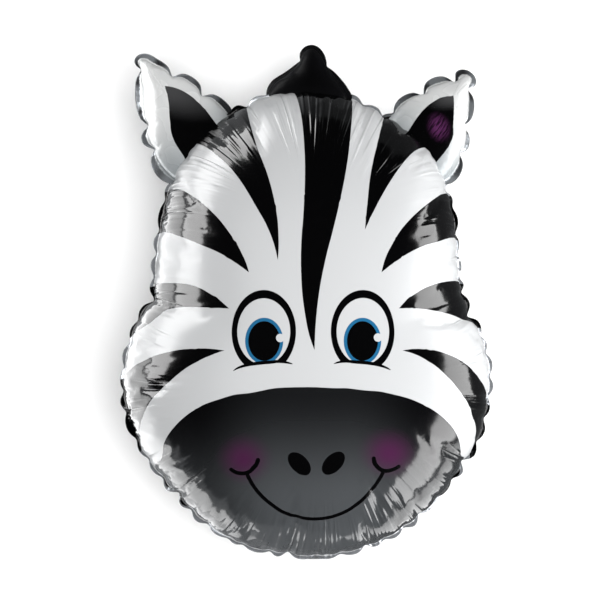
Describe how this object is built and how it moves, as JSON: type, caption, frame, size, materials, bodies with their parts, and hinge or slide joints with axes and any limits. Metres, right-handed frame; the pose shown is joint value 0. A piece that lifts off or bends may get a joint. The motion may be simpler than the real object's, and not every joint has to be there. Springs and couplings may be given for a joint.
{
  "type": "zebra head foil balloon",
  "caption": "Inflated foil balloon shaped as a zebra's head, with leaf-shaped ears, a tuft of mane, a flat weld all round and a filling tail at the chin.",
  "frame": {"origin": "on the floor that the balloon lies on, under the middle of its box", "axes": "+Z out of the face, +Y from the chin to the mane, +X to the right of the face as it is looked at"},
  "size_m": [0.5104, 0.7044, 0.2619],
  "materials": {
    "printed_foil": "metallised film, printed black and pearl white, glossy"
  },
  "bodies": {
    "root": {"foil_balloon": "printed_foil"}
  },
  "joints": []
}
